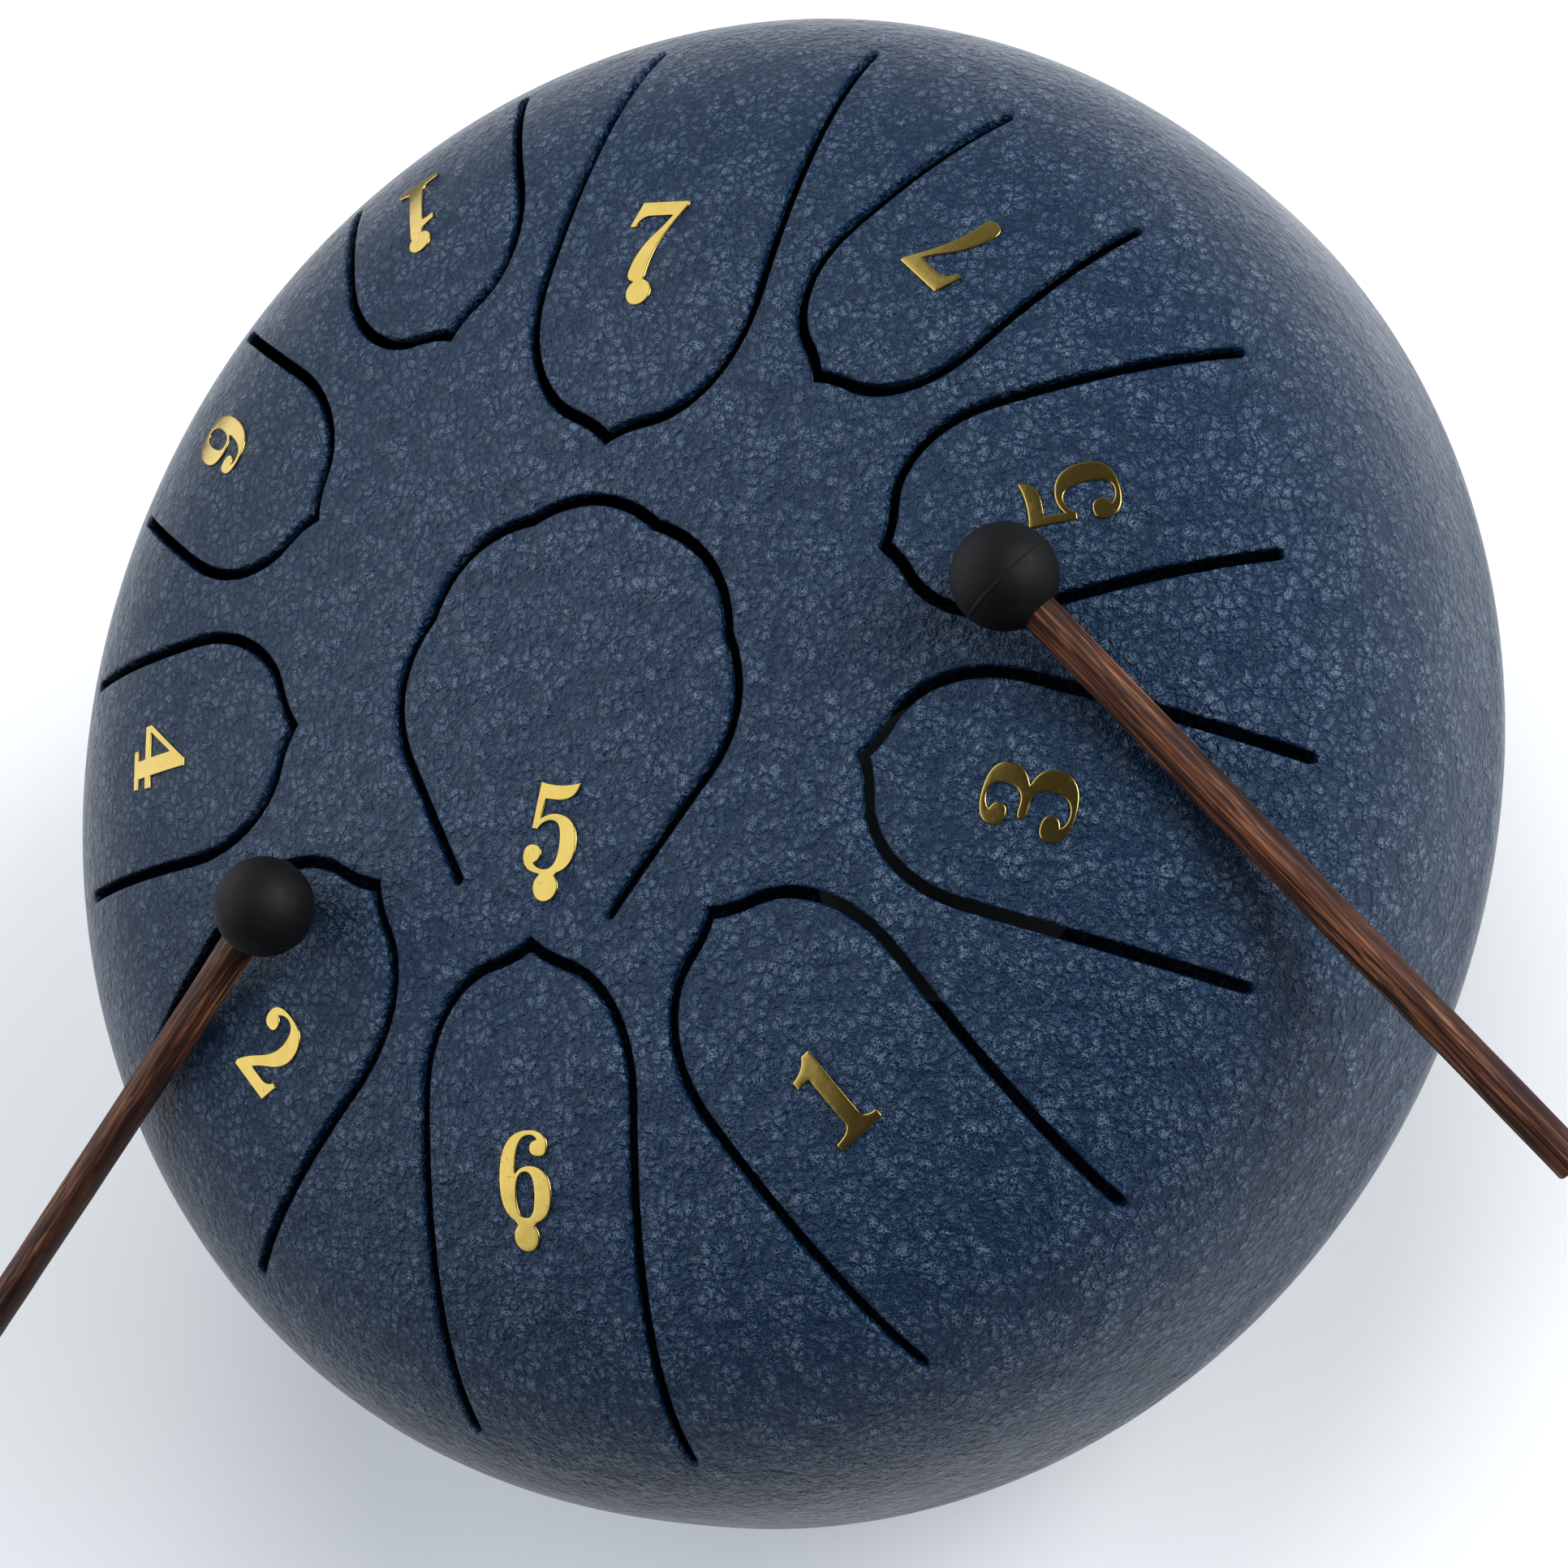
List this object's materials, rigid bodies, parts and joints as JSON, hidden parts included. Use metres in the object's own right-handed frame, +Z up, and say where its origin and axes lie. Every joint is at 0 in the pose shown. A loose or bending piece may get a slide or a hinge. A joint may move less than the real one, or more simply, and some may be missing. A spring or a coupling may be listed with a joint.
{
  "type": "steel tongue drum",
  "caption": "Domed steel hand drum with slit-cut tongues in its top, number stickers, rubber feet and a pair of rubber-headed mallets.",
  "frame": {"origin": "on the drum's axis, level with the undersides of the rubber feet, which is the centre of the underside of the bounding box", "axes": "+Z up along the drum's axis, +X to the player's right as the mallets lie with both handles over the -Y side, +Y away from the player"},
  "size_m": [0.2911, 0.254, 0.1528],
  "materials": {
    "shell_paint": "navy powder coat with a fine leather grain, satin",
    "weld_paint": "navy powder coat over a ground weld, satin",
    "foot_rubber": "matte black moulded rubber",
    "mallet_rubber": "matte black moulded rubber",
    "stick_wood": "dark brown streaky wood, thin satin varnish",
    "gold_foil": "mirror-bright gold foil"
  },
  "bodies": {
    "drum": {"top_shell": "shell_paint", "bottom_shell": "shell_paint", "equator_weld": "weld_paint", "foot_1": "foot_rubber", "foot_2": "foot_rubber", "foot_3": "foot_rubber", "sticker_low_5": "gold_foil", "sticker_low_6": "gold_foil", "sticker_1": "gold_foil", "sticker_3": "gold_foil", "sticker_5": "gold_foil", "sticker_7": "gold_foil", "sticker_low_7": "gold_foil", "sticker_high_1": "gold_foil", "sticker_6": "gold_foil", "sticker_4": "gold_foil", "sticker_2": "gold_foil"},
    "right_mallet": {"right_mallet_head": "mallet_rubber", "right_mallet_stick": "stick_wood"},
    "left_mallet": {"left_mallet_head": "mallet_rubber", "left_mallet_stick": "stick_wood"}
  },
  "joints": [
    {"name": "right_mallet_lift", "type": "slide", "parent": "drum", "child": "right_mallet", "axis": [0, 0, 1], "range_m": [0, 0.12]},
    {"name": "left_mallet_lift", "type": "slide", "parent": "drum", "child": "left_mallet", "axis": [0, 0, 1], "range_m": [0, 0.12]}
  ]
}
